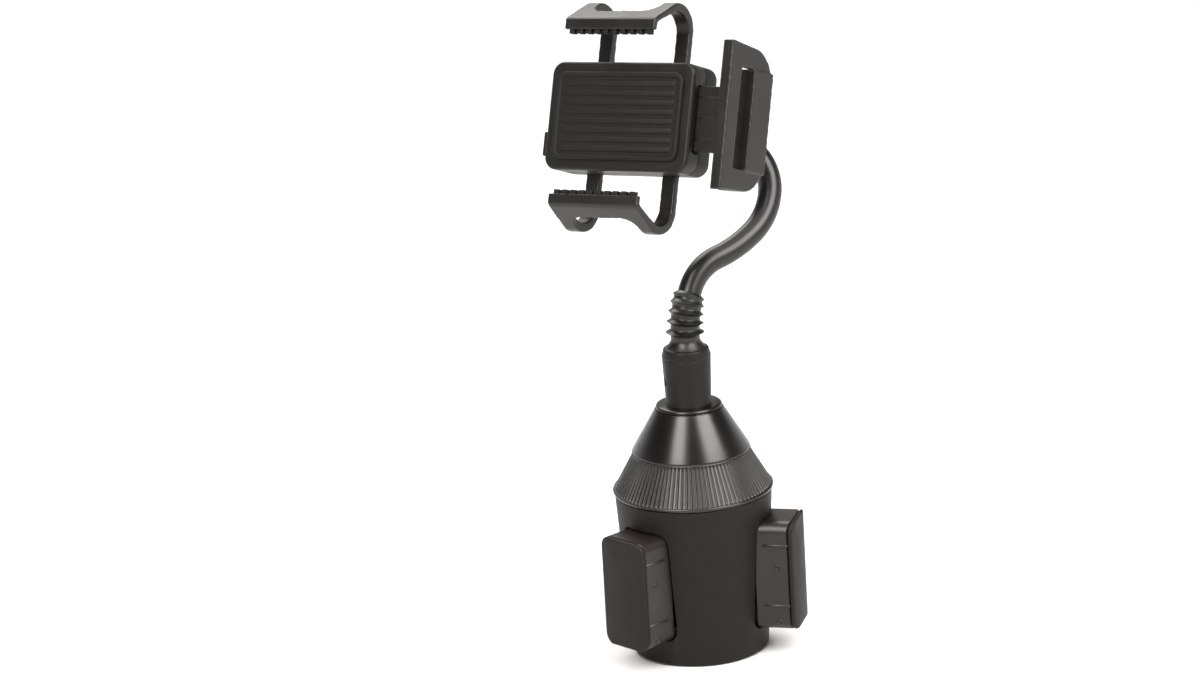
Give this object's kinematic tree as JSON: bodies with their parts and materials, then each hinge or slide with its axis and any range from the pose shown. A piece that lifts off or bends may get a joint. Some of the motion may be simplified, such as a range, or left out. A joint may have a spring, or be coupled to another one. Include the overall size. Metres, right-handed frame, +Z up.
{
  "type": "cup holder phone mount",
  "caption": "Phone mount for a cup holder: three-pad expanding base, knurled adjusting ring, gooseneck with bellows boot, ball joint and spring-jaw cradle with a sliding foot.",
  "frame": {"origin": "centre of the base's bottom face", "axes": "+Z up along the base's axis; -Y is the way the phone's screen faces"},
  "size_m": [0.0966, 0.0992, 0.2623],
  "materials": {
    "matte_black": "fine moulded matte",
    "pad_plastic": "fine moulded satin",
    "pad_rubber": "matte rubber",
    "ring_plastic": "ribbed satin",
    "cone_plastic": "smooth satin gloss",
    "collar_plastic": "smooth satin",
    "cradle_plastic": "fine moulded matte",
    "jaw_plastic": "satin moulded",
    "grip_rubber": "matte rubber",
    "boot_rubber": "smooth rubber",
    "sleeve": "smooth gloss sleeve",
    "spring_steel": "brushed",
    "screw_steel": "dark zinc",
    "ball_steel": "polished",
    "gear_plastic": "natural moulded"
  },
  "bodies": {
    "base": {"base_cup": "matte_black", "base_floor": "matte_black", "floor_screws": "screw_steel", "center_post": "spring_steel", "post_screw": "screw_steel", "cone_cap": "cone_plastic", "collar": "collar_plastic", "collar_set_screw": "screw_steel", "ring_washer": "gear_plastic", "boot_foot": "boot_rubber", "neck_core_0": "spring_steel", "neck_sleeve_0": "sleeve"},
    "ring": {"knurled_ring": "ring_plastic", "cam_plate": "gear_plastic", "cam_screws": "screw_steel"},
    "pad_1": {"pad_block_1": "pad_plastic", "pad_rubber_1": "pad_rubber", "pad_carriage_1": "gear_plastic"},
    "pad_2": {"pad_block_2": "pad_plastic", "pad_rubber_2": "pad_rubber", "pad_carriage_2": "gear_plastic"},
    "pad_3": {"pad_block_3": "pad_plastic", "pad_rubber_3": "pad_rubber", "pad_carriage_3": "gear_plastic"},
    "neck_1": {"neck_core_1": "spring_steel", "neck_sleeve_1": "sleeve", "neck_boot": "boot_rubber"},
    "neck_2": {"neck_core_2": "spring_steel", "neck_sleeve_2": "sleeve"},
    "neck_3": {"neck_core_3": "spring_steel", "neck_sleeve_3": "sleeve"},
    "neck_4": {"neck_core_4": "spring_steel", "neck_sleeve_4": "sleeve"},
    "neck_5": {"neck_core_5": "spring_steel", "neck_sleeve_5": "sleeve"},
    "neck_6": {"neck_core_6": "spring_steel", "neck_sleeve_6": "sleeve"},
    "neck_7": {"neck_core_7": "spring_steel", "neck_sleeve_7": "sleeve", "neck_ferrule": "collar_plastic", "ball_stud": "ball_steel"},
    "swivel": {"ball_seat_front": "gear_plastic"},
    "tilt": {"ball_seat_rear": "gear_plastic"},
    "cradle": {"ball_socket": "cradle_plastic", "front_shell": "cradle_plastic", "back_shell": "cradle_plastic", "front_pad": "grip_rubber", "shell_screws": "screw_steel", "mid_plate": "spring_steel", "pinion_axle": "screw_steel"},
    "lock_nut": {"lock_nut": "collar_plastic"},
    "jaw_top": {"jaw_top": "jaw_plastic", "grip_top": "grip_rubber"},
    "jaw_bottom": {"jaw_bottom": "jaw_plastic", "grip_bottom": "grip_rubber"},
    "pinion": {"pinion": "gear_plastic"},
    "release_button": {"release_button": "cradle_plastic"},
    "pawl": {"ratchet_pawl": "gear_plastic"},
    "foot": {"foot_bracket": "jaw_plastic", "foot_grip": "grip_rubber"}
  },
  "joints": [
    {"name": "ring_turn", "type": "hinge", "parent": "base", "child": "ring", "pos_m": [0, 0, 0.074], "axis": [0, 0, 1], "range_deg": [-107.14, 42.86]},
    {"name": "pad_1_slide", "type": "slide", "parent": "base", "child": "pad_1", "axis": [0.9348, 0.3551, 0], "range_m": [-0.01005, 0.00405]},
    {"name": "pad_2_slide", "type": "slide", "parent": "base", "child": "pad_2", "axis": [-0.7749, 0.632, 0], "range_m": [-0.01005, 0.00405]},
    {"name": "pad_3_slide", "type": "slide", "parent": "base", "child": "pad_3", "axis": [-0.1599, -0.9871, 0], "range_m": [-0.01005, 0.00405]},
    {"name": "neck_bend_1", "type": "hinge", "parent": "base", "child": "neck_1", "pos_m": [0, 0, 0.128], "axis": [1, 0, 0], "range_deg": [-10, 10]},
    {"name": "neck_bend_2", "type": "hinge", "parent": "neck_1", "child": "neck_2", "pos_m": [0.00015, 0.00463, 0.14528], "axis": [-0.0045, 0.866, -0.5], "range_deg": [-24, 16]},
    {"name": "neck_bend_3", "type": "hinge", "parent": "neck_2", "child": "neck_3", "pos_m": [0.005, 0.01748, 0.15621], "axis": [0.855, -0.3886, -0.3434], "range_deg": [-24, 24]},
    {"name": "neck_bend_4", "type": "hinge", "parent": "neck_3", "child": "neck_4", "pos_m": [0.01179, 0.03256, 0.16336], "axis": [-0.1099, 0.555, -0.8246], "range_deg": [-24, 24]},
    {"name": "neck_bend_5", "type": "hinge", "parent": "neck_4", "child": "neck_5", "pos_m": [0.0128, 0.04453, 0.17645], "axis": [0.985, 0.144, 0.0952], "range_deg": [-24, 10]},
    {"name": "neck_bend_6", "type": "hinge", "parent": "neck_5", "child": "neck_6", "pos_m": [0.00548, 0.04563, 0.19221], "axis": [-0.3652, 0.9208, 0.1366], "range_deg": [-24, 24]},
    {"name": "neck_bend_7", "type": "hinge", "parent": "neck_6", "child": "neck_7", "pos_m": [-0.00479, 0.03411, 0.20074], "axis": [0.4693, -0.0931, 0.8781], "range_deg": [-24, 6]},
    {"name": "ball_swivel", "type": "hinge", "parent": "neck_7", "child": "swivel", "pos_m": [-0.00927, 0.00142, 0.21113], "axis": [-0.0745, 0.3606, 0.9297], "range_deg": [-18, 18]},
    {"name": "ball_tilt", "type": "hinge", "parent": "swivel", "child": "tilt", "pos_m": [-0.00927, 0.00142, 0.21113], "axis": [0.9972, 0.0269, 0.0694], "range_deg": [-18, 18]},
    {"name": "cradle_turn", "type": "hinge", "parent": "tilt", "child": "cradle", "pos_m": [-0.00927, 0.00142, 0.21113], "axis": [0, 0.9323, -0.3616], "continuous": true},
    {"name": "lock_nut_turn", "type": "hinge", "parent": "cradle", "child": "lock_nut", "pos_m": [-0.00927, 0.00328, 0.21041], "axis": [0, 0.9323, -0.3616], "range_deg": [-90, 90]},
    {"name": "jaw_top_slide", "type": "slide", "parent": "cradle", "child": "jaw_top", "axis": [-0.0745, 0.3606, 0.9297], "range_m": [-0.009, 0.0055]},
    {"name": "jaw_bottom_slide", "type": "slide", "parent": "cradle", "child": "jaw_bottom", "axis": [0.0745, -0.3606, -0.9297], "range_m": [-0.009, 0.0055]},
    {"name": "pinion_turn", "type": "hinge", "parent": "cradle", "child": "pinion", "pos_m": [-0.00927, -0.01164, 0.2162], "axis": [0, 0.9323, -0.3616], "range_deg": [-60, 90]},
    {"name": "release_press", "type": "slide", "parent": "cradle", "child": "release_button", "axis": [0.9972, 0.0269, 0.0694], "range_m": [0, 0.002], "stiffness_N_per_m": 600, "springref_m": -0.002},
    {"name": "pawl_lift", "type": "hinge", "parent": "cradle", "child": "pawl", "pos_m": [-0.02183, -0.01622, 0.21267], "axis": [0, 0.9323, -0.3616], "range_deg": [-17, 0.5]},
    {"name": "foot_slide", "type": "slide", "parent": "cradle", "child": "foot", "axis": [0.9972, 0.0269, 0.0694], "range_m": [-0.0155, 0.012]}
  ],
  "couplings": [
    {"joint": "pad_1_slide", "follows": "ring_turn", "m_per_rad": 0.0053476},
    {"joint": "pad_2_slide", "follows": "ring_turn", "m_per_rad": 0.0053476},
    {"joint": "pad_3_slide", "follows": "ring_turn", "m_per_rad": 0.0053476},
    {"joint": "jaw_bottom_slide", "follows": "jaw_top_slide", "ratio": 1},
    {"joint": "pinion_turn", "follows": "jaw_top_slide", "rad_per_m": -166.67},
    {"joint": "pawl_lift", "follows": "release_press", "rad_per_m": -142.86}
  ]
}
